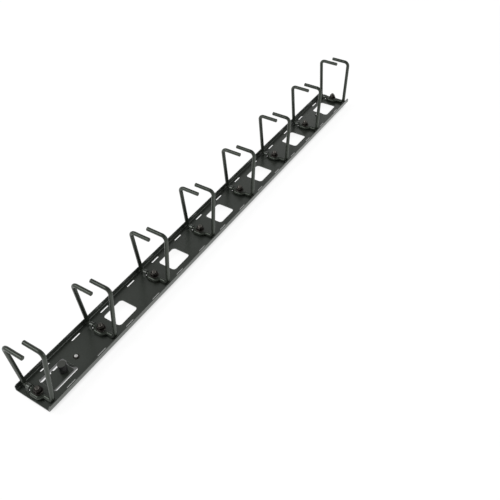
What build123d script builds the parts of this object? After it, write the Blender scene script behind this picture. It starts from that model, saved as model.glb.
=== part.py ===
"""Vertical cable organizer for a server rack: a folded steel channel that carries bent wire cable rings,
hangs in two keyholes by its buttons and is locked there by a pull knob with a sprung pin.

Frame, in mm: X across the channel, Y along it, Z from the mounting face towards the rings. The origin lies
under the middle of the channel, at the level of the rivet heads on which the unit rests.
"""
from build123d import *
import os

os.makedirs("parts", exist_ok=True)

# Fits
fit_gap = 0.05
moving_gap = 0.3
running_gap = 0.06

# Channel
channel_length = 889.0
channel_width = 64.5
flange_height = 9.5
sheet = 1.5
bend_inside = 1.0
flange_corner = 3.0

# Mounting buttons, which set the height of the channel over the origin
button_end_distance = 82.5
rivet_head_d = 9.5
rivet_head_height = 1.2
rivet_shank_d = 4.0
rivet_tail_d = 5.4
rivet_tail_height = 2.4
rivet_dome = 1.8
button_head_d = 16.6
button_head_height = 2.5
button_neck_d = 8.6
button_neck_height = 2.0
button_spigot_d = 6.6
button_collar_d = 8.4
button_collar_height = 0.8
disc_d = 30.0
disc_height = 2.5
button_edge = 0.4

button_head_z = rivet_head_height
button_neck_z = button_head_z + button_head_height
disc_z = button_neck_z + button_neck_height
back = disc_z + disc_height
floor = back + sheet
button_y = channel_length / 2 - button_end_distance

# Cable rings
ring_count = 8
ring_end_distance = 12.0
wire_d = 6.35
ring_side_gap = 1.275
ring_rise = 89.3
ring_splay = 9.0
arm_length = 35.5
top_bend = 8.0
foot_bend = 6.5
jog_bend = 4.0
wire_end_chamfer = 0.5
wire_z = floor + wire_d / 2
ring_half_width = channel_width / 2 - sheet - ring_side_gap - wire_d / 2
ring_pitch = (channel_length - 2 * ring_end_distance) / (ring_count - 1)
ring_stations = [ring_end_distance - channel_length / 2 + i * ring_pitch for i in range(ring_count)]

# Studs and flange nuts that hold the rings
stud_d = 6.0
stud_head_d = 9.0
stud_head_height = 1.0
stud_rise = 16.0
stud_chamfer = 0.8
stud_wire_gap = 0.1
nut_flange_d = 14.2
nut_flange_height = 1.3
nut_across_flats = 10.0
nut_height = 6.0
nut_corner_cut = 0.6
jog = stud_d / 2 + stud_wire_gap + wire_d / 2
jog_inner = 6.5
jog_outer = 10.5

# Straps formed up out of the channel over the foot of each ring
strap_x = -17.6
strap_width = 5.8
strap_sheet = 1.2
strap_wire_gap = 0.2
strap_mouth = 7.4
strap_side_gap = 0.3

# Windows and slots for hook and loop straps
window_count = 6
window_length = 40.5
window_width = 33.0
window_corner = 5.0
window_pitch = 132.2
window_end_distance = 156.5
slot_count = 14
slot_length = 17.0
slot_width = 2.6
slot_pitch = 61.2
slot_edge_distance = 6.95
slot_x = channel_width / 2 - slot_edge_distance
first_window_y = window_end_distance + window_length / 2 - channel_length / 2

# Latch window and the joggled tab inside it
latch_window_end_distance = 25.5
latch_window_length = 45.0
latch_window_corner = 4.0
tab_width = 22.6
tab_length = 41.0
tab_corner = 2.0
tab_drop = 2.0
tab_ramp = 3.0
ear_length = 5.0
ear_width = 2.0
ear_distance = 21.5
latch_y = latch_window_end_distance - channel_length / 2
tab_back = back - tab_drop
tab_face = tab_back + sheet
tab_end_y = latch_y + tab_length

# Sprung pin, its bushing and the pull knob
plunger_distance = 31.3
plunger_travel = 5.0
pin_nose_d = 6.0
pin_nose_length = 3.3
pin_tip_z = 1.7
pin_guide_d = 6.4
pin_length = 7.0
pin_tip_chamfer = 0.8
stem_d = 3.0
bushing_flange_d = 11.6
bushing_flange_height = 1.0
bushing_barrel_d = 8.0
bushing_cap = 1.2
spring_wire_d = 0.4
spring_turns = 3
spring_mean_d = 4.8
knob_wall = 1.9
knob_crown = 6.6
knob_edge = 0.6
knob_socket = 4.0
plunger_y = latch_y + plunger_distance
bushing_flange_z = tab_back - bushing_flange_height
pin_shoulder_z = pin_tip_z + pin_length
spring_packed = (spring_turns + 0.25) * spring_wire_d
spring_room_z = pin_shoulder_z + plunger_travel + spring_packed
bushing_top_z = spring_room_z + bushing_cap
knob_bore_d = bushing_barrel_d + 2 * moving_gap
knob_d = knob_bore_d + 2 * knob_wall
knob_z = tab_face + moving_gap
knob_roof_z = bushing_top_z + moving_gap
knob_top_z = knob_roof_z + knob_crown

on_floor = (Align.CENTER, Align.CENTER, Align.MIN)


# Folded channel, with everything that is cut from it or formed out of it
with BuildPart() as channel:
    with BuildSketch(Plane.XZ.offset(-channel_length / 2)) as profile:
        with Locations((0, back)):
            Rectangle(channel_width, flange_height, align=(Align.CENTER, Align.MIN))
        outer_corners = profile.vertices().group_by(Axis.Y)[0]
        fillet(outer_corners, radius=bend_inside + sheet)
        with BuildSketch(mode=Mode.SUBTRACT) as hollow:
            with Locations((0, floor)):
                Rectangle(channel_width - 2 * sheet, 2 * flange_height, align=(Align.CENTER, Align.MIN))
            inner_corners = hollow.vertices().group_by(Axis.Y)[0]
            fillet(inner_corners, radius=bend_inside)
    extrude(amount=channel_length)
    flange_ends = channel.edges().filter_by(Axis.X).group_by(Axis.Z)[-1]
    fillet(flange_ends, radius=flange_corner)

    # Six windows between the rings, the window around the latch tab and two rows of strap slots
    with BuildSketch(Plane.XY.offset(back)):
        for i in range(window_count):
            with Locations((0, first_window_y + i * window_pitch)):
                RectangleRounded(window_width, window_length, window_corner)
        with Locations((0, latch_y + latch_window_length / 2)):
            RectangleRounded(window_width, latch_window_length, latch_window_corner)
        with GridLocations(2 * slot_x, slot_pitch, 2, slot_count):
            SlotOverall(slot_length, slot_width, rotation=90)
    extrude(amount=sheet, mode=Mode.SUBTRACT)

    # Latch tab, joggled towards the mounting face
    with BuildSketch(Plane.YZ.offset(-tab_width / 2)):
        with BuildLine():
            Polyline(
                (latch_y - sheet, back),
                (latch_y, back),
                (latch_y + tab_ramp, tab_back),
                (tab_end_y, tab_back),
                (tab_end_y, tab_face),
                (latch_y + tab_ramp, tab_face),
                (latch_y, floor),
                (latch_y - sheet, floor),
                close=True,
            )
        make_face()
    extrude(amount=tab_width)
    tab_corners = channel.edges().filter_by(Axis.Z).filter_by_position(Axis.Y, tab_end_y - 0.1, tab_end_y + 0.1)
    fillet(tab_corners, radius=tab_corner)

    # Small ear on one edge of the tab, and the hole for the bushing
    with BuildSketch(Plane.XY.offset(tab_back)):
        with Locations((-tab_width / 2, latch_y + ear_distance)):
            Trapezoid(ear_length, ear_width, 63, rotation=90, align=(Align.CENTER, Align.MIN))
    extrude(amount=sheet)
    with Locations((0, plunger_y, tab_face)):
        Hole(bushing_barrel_d / 2 + fit_gap)

    # Straps: a mouth cut in the sheet and the band of metal from it, arched over the wire
    for y in ring_stations:
        with BuildSketch(Plane.XY.offset(back)):
            with Locations((strap_x, y)):
                Rectangle(strap_width + 2 * strap_side_gap, strap_mouth)
        extrude(amount=sheet, mode=Mode.SUBTRACT)
        inner = wire_d / 2 + strap_wire_gap
        outer = inner + strap_sheet
        toe = strap_mouth / 2
        with BuildSketch(Plane.YZ.offset(strap_x - strap_width / 2)):
            with BuildLine():
                ThreePointArc((y - inner, wire_z), (y, wire_z + inner), (y + inner, wire_z))
                Polyline(
                    (y + inner, wire_z),
                    (y + toe, back),
                    (y + toe + strap_sheet, back),
                    (y + toe + strap_sheet, floor),
                    (y + outer, wire_z),
                )
                ThreePointArc((y + outer, wire_z), (y, wire_z + outer), (y - outer, wire_z))
                Polyline(
                    (y - outer, wire_z),
                    (y - toe - strap_sheet, floor),
                    (y - toe - strap_sheet, back),
                    (y - toe, back),
                    (y - inner, wire_z),
                )
            make_face()
        extrude(amount=strap_width)

    # Seats for the ring studs, flush with the mounting face, and the holes for the buttons
    with Locations([(0, y, back) for y in ring_stations]):
        Cylinder(stud_head_d / 2 + fit_gap, stud_head_height, align=on_floor, mode=Mode.SUBTRACT)
    with Locations([(0, y, floor) for y in ring_stations]):
        Hole(stud_d / 2 + fit_gap, depth=sheet)
    with Locations((0, -button_y, floor), (0, button_y, floor)):
        Hole(button_spigot_d / 2 + fit_gap, depth=sheet)
channel.part.label = "channel"
export_step(channel.part, "parts/channel.step")

# Wire rings: two open arms that overlap over the channel, twisted apart so that a cable slips in between
for number, y in enumerate(ring_stations, start=1):
    with BuildPart() as ring:
        with BuildLine() as wire_path:
            FilletPolyline(
                (arm_length - ring_half_width, y - ring_splay, wire_z + ring_rise),
                (-ring_half_width, y - ring_splay, wire_z + ring_rise),
                (-ring_half_width, y, wire_z),
                (-jog_outer, y, wire_z),
                (-jog_inner, y - jog, wire_z),
                (jog_inner, y - jog, wire_z),
                (jog_outer, y, wire_z),
                (ring_half_width, y, wire_z),
                (ring_half_width, y + ring_splay, wire_z + ring_rise),
                (ring_half_width - arm_length, y + ring_splay, wire_z + ring_rise),
                radius=[top_bend, foot_bend, jog_bend, jog_bend, jog_bend, jog_bend, foot_bend, top_bend],
            )
        with BuildSketch(Plane(wire_path.line @ 0, z_dir=wire_path.line % 0)):
            Circle(wire_d / 2)
        sweep()
        wire_ends = ring.faces().filter_by(GeomType.PLANE).edges()
        chamfer(wire_ends, length=wire_end_chamfer)
    ring.part.label = f"ring_{number}"
    export_step(ring.part, f"parts/ring_{number}.step")

# Studs and flange nuts that clamp the foot of each ring to the channel
for number, y in enumerate(ring_stations, start=1):
    with BuildPart() as stud:
        with Locations((0, y, back)):
            Cylinder(stud_head_d / 2, stud_head_height, align=on_floor)
            Cylinder(stud_d / 2, sheet + stud_rise, align=on_floor)
        tip = stud.faces().sort_by(Axis.Z)[-1]
        chamfer(tip.edges(), length=stud_chamfer)
    stud.part.label = f"stud_{number}"
    export_step(stud.part, f"parts/stud_{number}.step")

    with BuildPart() as nut:
        nut_z = floor + wire_d
        with Locations((0, y, nut_z)):
            Cylinder(nut_flange_d / 2, nut_flange_height, align=on_floor)
        flange_rim = nut.edges().filter_by(GeomType.CIRCLE).sort_by(Axis.Z)[-1]
        chamfer(flange_rim, length=nut_corner_cut)
        with BuildSketch(Plane.XY.offset(nut_z + nut_flange_height)):
            with Locations((0, y)):
                RegularPolygon(nut_across_flats / 2, 6, major_radius=False)
        extrude(amount=nut_height - nut_flange_height)
        nut_top = nut.faces().sort_by(Axis.Z)[-1]
        chamfer(nut_top.edges(), length=nut_corner_cut)
        with Locations((0, y, nut_z + nut_height)):
            Hole(stud_d / 2 + fit_gap)
    nut.part.label = f"nut_{number}"
    export_step(nut.part, f"parts/nut_{number}.step")

# Mounting buttons: spacer disc, staked keyhole button and rivet
for place, y in [("near", -button_y), ("far", button_y)]:
    with BuildPart() as disc:
        with BuildSketch(Plane.XY.offset(disc_z)):
            with Locations((0, y)):
                Circle(disc_d / 2)
                Circle(button_spigot_d / 2 + fit_gap, mode=Mode.SUBTRACT)
        extrude(amount=disc_height)
        rim = disc.edges().filter_by(GeomType.CIRCLE).group_by(SortBy.RADIUS)[-1]
        chamfer(rim, length=button_edge)
    disc.part.label = f"button_{place}_disc"
    export_step(disc.part, f"parts/button_{place}_disc.step")

    with BuildPart() as head:
        with BuildSketch(Plane.XZ.offset(-y)):
            with BuildLine():
                Polyline(
                    (rivet_shank_d / 2 + fit_gap, button_head_z),
                    (button_head_d / 2 - button_edge, button_head_z),
                    (button_head_d / 2, button_head_z + button_edge),
                    (button_head_d / 2, button_neck_z - button_edge),
                    (button_head_d / 2 - button_edge, button_neck_z),
                    (button_neck_d / 2, button_neck_z),
                    (button_neck_d / 2, disc_z),
                    (button_spigot_d / 2, disc_z),
                    (button_spigot_d / 2, floor),
                    (button_collar_d / 2, floor),
                    (button_collar_d / 2, floor + button_collar_height),
                    (rivet_shank_d / 2 + fit_gap, floor + button_collar_height),
                    close=True,
                )
            make_face()
        revolve(axis=Axis((0, y, 0), (0, 0, 1)))
    head.part.label = f"button_{place}_head"
    export_step(head.part, f"parts/button_{place}_head.step")

    with BuildPart() as rivet:
        with Locations((0, y, 0)):
            Cylinder(rivet_head_d / 2, rivet_head_height, align=on_floor)
        chamfer(rivet.edges().sort_by(Axis.Z)[0], length=button_edge)
        tail_z = floor + button_collar_height
        with Locations((0, y, 0)):
            Cylinder(rivet_shank_d / 2, tail_z, align=on_floor)
        with Locations((0, y, tail_z)):
            Cylinder(rivet_tail_d / 2, rivet_tail_height, align=on_floor)
        dome = rivet.edges().sort_by(Axis.Z)[-1]
        fillet(dome, radius=rivet_dome)
    rivet.part.label = f"button_{place}_rivet"
    export_step(rivet.part, f"parts/button_{place}_rivet.step")

# Bushing fixed in the latch tab: flange on the mounting side, barrel through the tab, cap over the spring
with BuildPart() as bushing:
    with BuildSketch(Plane.XZ.offset(-plunger_y)):
        bore = pin_guide_d / 2 + running_gap
        with BuildLine():
            Polyline(
                (bore, bushing_flange_z),
                (bushing_flange_d / 2, bushing_flange_z),
                (bushing_flange_d / 2, tab_back),
                (bushing_barrel_d / 2, tab_back),
                (bushing_barrel_d / 2, bushing_top_z),
                (stem_d / 2 + moving_gap, bushing_top_z),
                (stem_d / 2 + moving_gap, spring_room_z),
                (bore, spring_room_z),
                close=True,
            )
        make_face()
    revolve(axis=Axis((0, plunger_y, 0), (0, 0, 1)))
bushing.part.label = "latch_bushing"
export_step(bushing.part, "parts/latch_bushing.step")

# Locking pin with the stem that carries the knob
with BuildPart() as pin:
    with Locations((0, plunger_y, pin_tip_z)):
        Cylinder(pin_nose_d / 2, pin_nose_length, align=on_floor)
    nose = pin.faces().sort_by(Axis.Z)[0]
    chamfer(nose.edges(), length=pin_tip_chamfer)
    with Locations((0, plunger_y, pin_tip_z + pin_nose_length)):
        Cylinder(pin_guide_d / 2, pin_length - pin_nose_length, align=on_floor)
    with Locations((0, plunger_y, pin_shoulder_z)):
        Cylinder(stem_d / 2, knob_roof_z + knob_socket - pin_shoulder_z, align=on_floor)
pin.part.label = "latch_pin"
export_step(pin.part, "parts/latch_pin.step")

# Spring between the shoulder of the pin and the cap of the bushing
with BuildPart() as spring:
    spring_z = pin_shoulder_z + fit_gap + spring_wire_d / 2
    spring_height = spring_room_z - pin_shoulder_z - 2 * fit_gap - spring_wire_d
    with BuildLine() as coil:
        Helix(spring_height / spring_turns, spring_height, spring_mean_d / 2, center=(0, plunger_y, spring_z))
    with BuildSketch(Plane(coil.line @ 0, z_dir=coil.line % 0)):
        Circle(spring_wire_d / 2)
    sweep()
spring.part.label = "latch_spring"
export_step(spring.part, "parts/latch_spring.step")

# Pull knob: a deep cap over the bushing, pressed on the end of the stem
with BuildPart() as knob:
    with Locations((0, plunger_y, knob_z)):
        Cylinder(knob_d / 2, knob_top_z - knob_z, align=on_floor)
    crown = knob.faces().sort_by(Axis.Z)[-1]
    fillet(crown.edges(), radius=knob_edge)
    with Locations((0, plunger_y, knob_z)):
        Cylinder(knob_bore_d / 2, knob_roof_z - knob_z, align=on_floor, mode=Mode.SUBTRACT)
        Cylinder(stem_d / 2, knob_roof_z + knob_socket - knob_z, align=on_floor, mode=Mode.SUBTRACT)
knob.part.label = "latch_knob"
export_step(knob.part, "parts/latch_knob.step")
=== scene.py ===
import math

import bpy
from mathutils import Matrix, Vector


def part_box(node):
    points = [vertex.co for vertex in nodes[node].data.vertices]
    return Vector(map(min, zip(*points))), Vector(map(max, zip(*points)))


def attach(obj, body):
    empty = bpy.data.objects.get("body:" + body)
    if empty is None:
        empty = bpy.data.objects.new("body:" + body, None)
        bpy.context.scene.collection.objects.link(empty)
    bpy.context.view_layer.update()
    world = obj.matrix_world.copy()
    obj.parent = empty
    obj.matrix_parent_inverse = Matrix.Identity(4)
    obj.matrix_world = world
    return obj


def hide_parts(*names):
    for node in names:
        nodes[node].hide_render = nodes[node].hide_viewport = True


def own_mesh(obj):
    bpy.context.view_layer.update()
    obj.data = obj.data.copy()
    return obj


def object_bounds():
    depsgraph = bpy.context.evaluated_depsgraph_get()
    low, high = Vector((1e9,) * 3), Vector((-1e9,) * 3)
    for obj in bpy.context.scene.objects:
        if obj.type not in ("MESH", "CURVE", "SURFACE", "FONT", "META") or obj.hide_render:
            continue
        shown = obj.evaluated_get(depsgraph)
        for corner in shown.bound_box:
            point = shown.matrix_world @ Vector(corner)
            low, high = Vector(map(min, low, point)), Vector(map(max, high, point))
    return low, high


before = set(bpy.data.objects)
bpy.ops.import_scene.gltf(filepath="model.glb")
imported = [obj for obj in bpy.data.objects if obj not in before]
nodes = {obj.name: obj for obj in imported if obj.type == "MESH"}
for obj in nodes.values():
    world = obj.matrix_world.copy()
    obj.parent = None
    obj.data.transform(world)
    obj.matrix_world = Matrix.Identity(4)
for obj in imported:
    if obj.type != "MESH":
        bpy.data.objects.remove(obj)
cad_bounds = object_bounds()

MM = 0.001
RINGS = range(1, 9)

# Studs and their thread; crest and flank are shares of the way from one crest to the next root
STUD_RADIUS = 3.0 * MM
STUD_HEAD_RADIUS = 4.5 * MM
STUD_HEAD_HEIGHT = 1.0 * MM
STUD_CHAMFER = 0.8 * MM
STUD_SEGMENTS = 28
STUD_SHARP_ANGLE = math.radians(38)
THREAD_PITCH = 1.0 * MM
THREAD_DEPTH = 0.5 * MM
THREAD_CREST = 0.13
THREAD_FLANK = 0.62
THREAD_STEPS = 6

# White paper
PAPER_REACH = 6.0
PAPER_Z = -0.2 * MM
PAPER_GLOW = (0.08, 0.90)
PAPER_SHADE = 0.22

# Close shade on the paper under the channel
SHADE_HALF_WIDTH = 20 * MM
SHADE_END_INSET = 12 * MM
SHADE_SOFT = 11 * MM
SHADE_LIGHT = 0.42

# Light that falls in through the windows
FIRST_WINDOW_Y = -267.75 * MM
WINDOW_PITCH = 132.2 * MM
WINDOW_LIGHT_X = -5 * MM
WINDOW_LIGHT_SHIFT = 8 * MM
WINDOW_LIGHT_HALF = (17 * MM, 26 * MM)
WINDOW_LIGHT_SOFT = (9 * MM, 12 * MM)
WINDOW_LIGHT_START = (-60 * MM, -50 * MM)

# Deep shade under the latch tab, and the two bars of light beside it
LATCH_SHADE_OFFSET = -5.5 * MM
LATCH_SHADE_HALF = (18 * MM, 25 * MM)
LATCH_SHADE_SOFT = (3 * MM, 3 * MM)
LATCH_SHADE_LIGHT = 0.1
BAR_PLACES_X = (-15.6 * MM, 12.2 * MM)
BAR_HALF_WIDTH = 2.6 * MM
BAR_SOFT = 1.6 * MM
BAR_END = 13.5 * MM
BAR_END_SOFT = 1.5 * MM
BAR_END_SLANT = -0.36


def centre(node):
    low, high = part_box(node)
    return [(a + b) / 2 for a, b in zip(low, high)]


def add_object(name, data):
    obj = bpy.data.objects.new(name, data)
    bpy.context.scene.collection.objects.link(obj)
    return obj


latch_x, latch_y, _ = centre("latch_bushing")


# Node helpers
def new_material(name):
    mat = bpy.data.materials.new(name)
    mat.use_nodes = True
    tree = mat.node_tree
    shader = tree.nodes["Principled BSDF"]
    return mat, tree, shader


def texture(tree, kind, scale, coords, **inputs):
    node = tree.nodes.new(kind)
    node.inputs["Scale"].default_value = scale
    for key, value in inputs.items():
        node.inputs[key].default_value = value
    tree.links.new(coords, node.inputs["Vector"])
    return node


def noise(tree, scale, coords, **inputs):
    return texture(tree, "ShaderNodeTexNoise", scale, coords, **inputs).outputs["Fac"]


def object_coords(tree):
    return tree.nodes.new("ShaderNodeTexCoord").outputs["Object"]


def separated(tree, vector):
    node = tree.nodes.new("ShaderNodeSeparateXYZ")
    tree.links.new(vector, node.inputs[0])
    return node.outputs


def ramp(tree, source, stops):
    """Colour between two stops, each a position and a colour."""
    node = tree.nodes.new("ShaderNodeValToRGB")
    tree.links.new(source, node.inputs["Fac"])
    for element, (position, colour) in zip(node.color_ramp.elements, stops):
        element.position = position
        element.color = (*colour, 1)
    return node.outputs["Color"]


def mapped(tree, source, low, high, from_low=0.0, from_high=1.0):
    node = tree.nodes.new("ShaderNodeMapRange")
    node.inputs["From Min"].default_value = from_low
    node.inputs["From Max"].default_value = from_high
    node.inputs["To Min"].default_value = low
    node.inputs["To Max"].default_value = high
    tree.links.new(source, node.inputs["Value"])
    return node.outputs["Result"]


def blended(tree, factor, colour_a, colour_b):
    """Colour a where the factor is 0 and colour b where it is 1; each is a tuple or a socket."""
    node = tree.nodes.new("ShaderNodeMix")
    node.data_type = "RGBA"
    tree.links.new(factor, node.inputs["Factor"])
    colour_inputs = (node.inputs[6], node.inputs[7])
    for socket, colour in zip(colour_inputs, (colour_a, colour_b)):
        if isinstance(colour, tuple):
            socket.default_value = (*colour, 1)
        else:
            tree.links.new(colour, socket)
    return node.outputs[2]


def calculated(tree, operation, *values):
    node = tree.nodes.new("ShaderNodeMath")
    node.operation = operation
    for socket, value in zip(node.inputs, values):
        if isinstance(value, (int, float)):
            socket.default_value = value
        else:
            tree.links.new(value, socket)
    return node.outputs[0]


def mixed(tree, factor, when_0, when_1, output):
    """Ends a material or a world: one shader where the factor is 0, the other where it is 1."""
    mix = tree.nodes.new("ShaderNodeMixShader")
    tree.links.new(factor, mix.inputs[0])
    tree.links.new(when_0, mix.inputs[1])
    tree.links.new(when_1, mix.inputs[2])
    tree.links.new(mix.outputs[0], tree.nodes[output].inputs["Surface"])


def uneven_roughness(tree, shader, source, roughness, below, above):
    """Roughness that follows a texture, from a little below the value to a little above it."""
    result = mapped(tree, source, roughness - below, roughness + above)
    tree.links.new(result, shader.inputs["Roughness"])


def bumped(tree, shader, height, distance, strength, edge=None):
    """Fine relief on the surface; edge is the radius to which its sharp edges look rounded."""
    node = tree.nodes.new("ShaderNodeBump")
    node.inputs["Strength"].default_value = strength
    node.inputs["Distance"].default_value = distance
    tree.links.new(height, node.inputs["Height"])
    if edge:
        rounded = tree.nodes.new("ShaderNodeBevel")
        rounded.samples = 6
        rounded.inputs["Radius"].default_value = edge
        tree.links.new(rounded.outputs["Normal"], node.inputs["Normal"])
    tree.links.new(node.outputs["Normal"], shader.inputs["Normal"])


# Materials
def powder_coat(name, dark, light, worn, roughness, peel, gloss):
    """Charcoal powder coat: cloudy tone, orange peel, specks and edges rubbed a little lighter."""
    mat, tree, shader = new_material(name)
    coords = object_coords(tree)
    cloud = noise(tree, 9.0, coords, Detail=4.0, Roughness=0.6)
    tone = ramp(tree, cloud, [(0.3, dark), (0.72, light)])
    specks = noise(tree, 900.0, coords, Detail=2.0)
    speck_mask = mapped(tree, specks, 0.0, 0.5, from_low=0.62, from_high=0.8)
    speckled = blended(tree, speck_mask, tone, worn)
    edges = tree.nodes.new("ShaderNodeNewGeometry").outputs["Pointiness"]
    edge_mask = mapped(tree, edges, 0.0, 0.55, from_low=0.52, from_high=0.62)
    tree.links.new(blended(tree, edge_mask, speckled, worn), shader.inputs["Base Color"])
    grain = noise(tree, peel, coords, Detail=3.0, Roughness=0.55)
    smear = noise(tree, 26.0, coords, Detail=5.0, Roughness=0.7)
    uneven_roughness(tree, shader, smear, roughness, below=0.06, above=0.1)
    shader.inputs["Specular IOR Level"].default_value = 0.75
    shader.inputs["Coat Weight"].default_value = gloss
    shader.inputs["Coat Roughness"].default_value = 0.22
    shader.inputs["Specular Tint"].default_value = (0.90, 1.0, 0.88, 1)
    bumped(tree, shader, grain, 0.04 * MM, strength=0.55, edge=0.35 * MM)
    return mat


def plated(name, dark, light, roughness, grain_scale):
    """Plated steel: fine grain, a slightly uneven tone and small dull patches."""
    mat, tree, shader = new_material(name)
    coords = object_coords(tree)
    patches = noise(tree, 260.0, coords, Detail=4.0, Roughness=0.65)
    tone = ramp(tree, patches, [(0.3, dark), (0.65, light)])
    tree.links.new(tone, shader.inputs["Base Color"])
    grain = noise(tree, grain_scale, coords, Detail=3.0)
    uneven_roughness(tree, shader, grain, roughness, below=0.07, above=0.12)
    shader.inputs["Metallic"].default_value = 1.0
    bumped(tree, shader, grain, 0.03 * MM, strength=0.4, edge=0.2 * MM)
    return mat


def moulded(name, dark, light, painted_top_light, roughness):
    """Moulded plastic: fine spark texture, an uneven sheen and a painted highlight: faces that look up are
    painted lighter, as if lit from above.
    """
    mat, tree, shader = new_material(name)
    coords = object_coords(tree)
    cloud = noise(tree, 180.0, coords, Detail=3.0)
    tone = ramp(tree, cloud, [(0.35, dark), (0.7, light)])
    normal = tree.nodes.new("ShaderNodeNewGeometry").outputs["Normal"]
    upwards = separated(tree, normal)["Z"]
    # Painted highlight: faces that look up blend towards a lighter grey, standing in for light from above
    painted_top_mask = mapped(tree, upwards, 0.0, 1.0, from_low=0.55, from_high=0.95)
    tree.links.new(blended(tree, painted_top_mask, tone, painted_top_light), shader.inputs["Base Color"])
    spark = texture(tree, "ShaderNodeTexVoronoi", 2600.0, coords)
    uneven_roughness(tree, shader, cloud, roughness, below=0.06, above=0.1)
    bumped(tree, shader, spark.outputs["Distance"], 0.04 * MM, strength=0.4)
    return mat


sheet_coat = powder_coat(
    "coat_sheet",
    dark=(0.005, 0.008, 0.005),
    light=(0.010, 0.014, 0.010),
    worn=(0.045, 0.050, 0.044),
    roughness=0.34,
    peel=1300.0,
    gloss=0.8,
)
wire_coat = powder_coat(
    "coat_wire",
    dark=(0.009, 0.012, 0.008),
    light=(0.015, 0.018, 0.013),
    worn=(0.045, 0.048, 0.042),
    roughness=0.30,
    peel=1500.0,
    gloss=0.0,
)
button_coat = powder_coat(
    "coat_button",
    dark=(0.009, 0.010, 0.009),
    light=(0.015, 0.016, 0.015),
    worn=(0.045, 0.046, 0.043),
    roughness=0.32,
    peel=1500.0,
    gloss=0.4,
)
zinc = plated("zinc_bright", (0.66, 0.66, 0.64), (0.90, 0.90, 0.88), 0.46, 900.0)
rivet_zinc = plated("rivet_bright", (0.93, 0.93, 0.91), (0.99, 0.99, 0.97), 0.42, 900.0)
stud_steel = plated("stud_steel", (0.085, 0.078, 0.070), (0.20, 0.19, 0.175), 0.30, 900.0)
black_oxide = plated("steel_dark", (0.030, 0.028, 0.026), (0.070, 0.064, 0.058), 0.34, 1100.0)
knob_black = moulded(
    "knob_plastic",
    dark=(0.010, 0.010, 0.010),
    light=(0.020, 0.020, 0.020),
    # lighter grey painted on the knob's upward faces as a painted highlight
    painted_top_light=(0.074, 0.079, 0.070),
    roughness=0.38,
)

MATERIALS = {"channel": sheet_coat, "latch_knob": knob_black}
for node in ("latch_bushing", "latch_pin", "latch_spring"):
    MATERIALS[node] = zinc
for side in ("near", "far"):
    MATERIALS[f"button_{side}_disc"] = button_coat
    MATERIALS[f"button_{side}_head"] = black_oxide
    MATERIALS[f"button_{side}_rivet"] = rivet_zinc
for number in RINGS:
    MATERIALS[f"ring_{number}"] = wire_coat
    MATERIALS[f"stud_{number}"] = stud_steel
    MATERIALS[f"nut_{number}"] = black_oxide
for node, mat in MATERIALS.items():
    obj = nodes[node]
    obj.data.materials.clear()
    obj.data.materials.append(mat)


# Pieces that stand for CAD nodes
def thread_depth(turns):
    """Share of the thread's full depth at a number of turns along it: flat crest and root."""
    from_crest = 1 - abs(2 * (turns % 1) - 1)
    return min(max((from_crest - THREAD_CREST) / THREAD_FLANK, 0), 1)


def stud_rows(base, top):
    """Rows of points up the stud: the height, the radius without thread and whether it is threaded."""
    head_top = base + STUD_HEAD_HEIGHT
    rows = [(base, STUD_HEAD_RADIUS, False), (head_top, STUD_HEAD_RADIUS, False)]
    count = round((top - head_top) / THREAD_PITCH * THREAD_STEPS)
    for i in range(count + 1):
        z = head_top + (top - head_top) * i / count
        chamfered = STUD_RADIUS - max(z - (top - STUD_CHAMFER), 0)
        rows.append((z, chamfered, True))
    return rows


def stud_mesh(name, node):
    low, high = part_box(node)
    base, top = low[2], high[2]
    mid_x, mid_y, _ = centre(node)
    rows = stud_rows(base, top)
    verts = []
    for z, radius, threaded in rows:
        for k in range(STUD_SEGMENTS):
            turn = k / STUD_SEGMENTS
            reach = radius
            if threaded:
                depth = THREAD_DEPTH * thread_depth((z - base) / THREAD_PITCH - turn)
                reach = min(radius, STUD_RADIUS - depth)
            angle = math.tau * turn
            verts.append((mid_x + reach * math.cos(angle), mid_y + reach * math.sin(angle), z))
    faces = [tuple(reversed(range(STUD_SEGMENTS)))]
    for row in range(len(rows) - 1):
        for k in range(STUD_SEGMENTS):
            a = row * STUD_SEGMENTS + k
            b = row * STUD_SEGMENTS + (k + 1) % STUD_SEGMENTS
            faces.append((a, b, b + STUD_SEGMENTS, a + STUD_SEGMENTS))
    last = (len(rows) - 1) * STUD_SEGMENTS
    faces.append(tuple(range(last, last + STUD_SEGMENTS)))
    mesh = bpy.data.meshes.new(name)
    mesh.from_pydata(verts, [], faces)
    mesh.polygons.foreach_set("use_smooth", [True] * len(mesh.polygons))
    mesh.set_sharp_from_angle(angle=STUD_SHARP_ANGLE)
    return mesh


def threaded_stud(name, node):
    """Flush head stud with its rolled thread, which the CAD solid draws as a plain rod."""
    stud = add_object(name, stud_mesh(name, node))
    stud.data.materials.append(stud_steel)
    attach(stud, "frame")
    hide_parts(node)


for number in RINGS:
    threaded_stud(f"threaded_stud_{number}", f"stud_{number}")

# A copy of the spring with its own mesh, fixed to the frame, stands for the spring node
coil = nodes["latch_spring"].copy()
coil.data = nodes["latch_spring"].data.copy()
coil.name = coil.data.name = "coil_spring"
bpy.context.scene.collection.objects.link(coil)
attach(coil, "frame")
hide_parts("latch_spring")
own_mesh(coil)


# Paper under the object
def seen_rays(tree):
    """1 for rays from the camera, in reflections and through glass, 0 for rays that light the object."""
    path = tree.nodes.new("ShaderNodeLightPath")
    total = path.outputs["Is Camera Ray"]
    for ray in ("Is Glossy Ray", "Is Transmission Ray"):
        total = calculated(tree, "MAXIMUM", total, path.outputs[ray])
    return total


def band(tree, value, middle, half, soft):
    """1 where the value lies within half of the middle, falling to 0 over the soft width outside."""
    offset = calculated(tree, "ABSOLUTE", calculated(tree, "SUBTRACT", value, middle))
    return mapped(tree, offset, 1.0, 0.0, from_low=half, from_high=half + soft)


def patch(tree, x, y, middle, half, soft):
    """1 on a rectangle of the paper, falling to 0 outside it."""
    across = band(tree, x, middle[0], half[0], soft[0])
    along = band(tree, y, middle[1], half[1], soft[1])
    return calculated(tree, "MULTIPLY", across, along)


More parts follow.
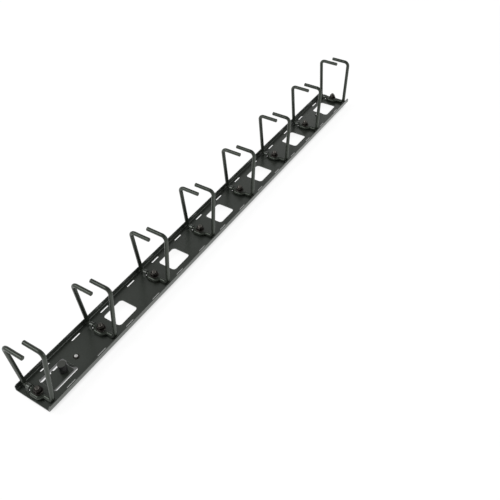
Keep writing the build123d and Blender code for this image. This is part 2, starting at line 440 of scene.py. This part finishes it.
def open_light(tree, coords):
    """Share of the paper's glow, painted at set places and not worked out from the lamps: full in the
    open, under half below the channel except for its windows, and little below the latch except for
    two bars where light falls in beside the tab."""
    place = separated(tree, coords)
    x, y = place["X"], place["Y"]
    _, high = cad_bounds
    covered_half = (SHADE_HALF_WIDTH, high[1] - SHADE_END_INSET)
    covered = patch(tree, x, y, (0.0, 0.0), covered_half, (SHADE_SOFT, SHADE_SOFT))
    light = mapped(tree, covered, 1.0, SHADE_LIGHT)

    from_window = calculated(tree, "SUBTRACT", y, FIRST_WINDOW_Y + WINDOW_LIGHT_SHIFT)
    in_pitch = calculated(tree, "WRAP", from_window, WINDOW_PITCH / 2, -WINDOW_PITCH / 2)
    windows = patch(tree, x, in_pitch, (WINDOW_LIGHT_X, 0.0), WINDOW_LIGHT_HALF, WINDOW_LIGHT_SOFT)
    start, full = WINDOW_LIGHT_START
    past_latch = mapped(tree, from_window, 0.0, 1.0, from_low=start, from_high=full)
    light = calculated(tree, "MAXIMUM", light, calculated(tree, "MULTIPLY", windows, past_latch))

    deep_middle = (LATCH_SHADE_OFFSET, latch_y + LATCH_SHADE_OFFSET)
    deep = patch(tree, x, y, deep_middle, LATCH_SHADE_HALF, LATCH_SHADE_SOFT)
    light = calculated(tree, "MULTIPLY", light, mapped(tree, deep, 1.0, LATCH_SHADE_LIGHT))
    slanted_y = calculated(tree, "ADD", y, calculated(tree, "MULTIPLY", x, BAR_END_SLANT))
    end = latch_y + BAR_END
    before_end = mapped(tree, slanted_y, 1.0, 0.0, from_low=end - BAR_END_SOFT, from_high=end + BAR_END_SOFT)
    for bar_x in BAR_PLACES_X:
        across = band(tree, x, bar_x, BAR_HALF_WIDTH, BAR_SOFT)
        bar = calculated(tree, "MULTIPLY", across, before_end)
        light = calculated(tree, "MAXIMUM", light, bar)
    return light


def white_stage():
    """White paper that glows to the camera, less so in the close shade under the channel."""
    mat, tree, shader = new_material("stage_white")
    coords = object_coords(tree)
    mottle = noise(tree, 3.0, coords, Detail=2.0)
    tone = ramp(tree, mottle, [(0.3, (0.74, 0.74, 0.74)), (0.7, (0.78, 0.78, 0.78))])
    tree.links.new(tone, shader.inputs["Base Color"])
    shader.inputs["Roughness"].default_value = 0.7
    shade = tree.nodes.new("ShaderNodeBsdfDiffuse")
    shade.inputs["Color"].default_value = (PAPER_SHADE, PAPER_SHADE, PAPER_SHADE, 1)
    glow = tree.nodes.new("ShaderNodeEmission")
    strength = mapped(tree, open_light(tree, coords), *PAPER_GLOW)
    tree.links.new(strength, glow.inputs["Strength"])
    seen = tree.nodes.new("ShaderNodeAddShader")
    tree.links.new(shade.outputs[0], seen.inputs[0])
    tree.links.new(glow.outputs[0], seen.inputs[1])
    mixed(tree, seen_rays(tree), shader.outputs[0], seen.outputs[0], "Material Output")
    return mat


corners = [(x * PAPER_REACH, y * PAPER_REACH, PAPER_Z) for x, y in ((-1, -1), (1, -1), (1, 1), (-1, 1))]
floor_mesh = bpy.data.meshes.new("floor")
floor_mesh.from_pydata(corners, [], [(0, 1, 2, 3)])
floor_mesh.materials.append(white_stage())
floor = add_object("floor", floor_mesh)


# Lamps and world
def area_lamp(name, position, size, power):
    """Round lamp that shines at the origin."""
    data = bpy.data.lights.new(name, "AREA")
    data.shape = "DISK"
    data.size = size
    data.energy = power
    lamp = add_object(name, data)
    lamp.location = position
    lamp.rotation_euler = (-Vector(position)).to_track_quat("-Z", "Y").to_euler()


area_lamp("key", (-1.6, -1.4, 1.9), size=1.6, power=20)
area_lamp("side", (2.2, 0.6, 1.4), size=1.4, power=7)


def studio_world():
    """Soft sky for light and reflections, dimmest halfway up; plain white to the camera."""
    world = bpy.data.worlds.new("studio")
    world.use_nodes = True
    tree = world.node_tree
    direction = tree.nodes.new("ShaderNodeTexCoord").outputs["Generated"]
    height = separated(tree, direction)["Z"]
    sky = tree.nodes["Background"]
    sky.inputs["Color"].default_value = (1, 1, 1, 1)
    overhead = mapped(tree, height, 0.27, 0.34, from_low=0.6, from_high=0.95)
    horizon = mapped(tree, height, 0.35, 0.0, from_low=0.45, from_high=0.62)
    tree.links.new(calculated(tree, "ADD", overhead, horizon), sky.inputs["Strength"])
    white = tree.nodes.new("ShaderNodeBackground")
    white.inputs["Color"].default_value = (1, 1, 1, 1)
    camera_ray = tree.nodes.new("ShaderNodeLightPath").outputs["Is Camera Ray"]
    mixed(tree, camera_ray, sky.outputs[0], white.outputs[0], "World Output")
    bpy.context.scene.world = world


studio_world()

# Camera, as fitted to the photograph
camera_data = bpy.data.cameras.new("camera")
camera_data.sensor_width = 36
camera_data.lens = 47.64
camera_data.shift_x = 0.0170
camera_data.shift_y = -0.1043
camera_data.clip_start = 0.01
camera_data.clip_end = 50
camera = add_object("camera", camera_data)
camera.location = (0.5180, -0.7107, 0.7625)
camera.rotation_euler = [math.radians(angle) for angle in (50.536, 1.398, 32.530)]
bpy.context.scene.camera = camera
bpy.context.scene.view_settings.view_transform = "Standard"
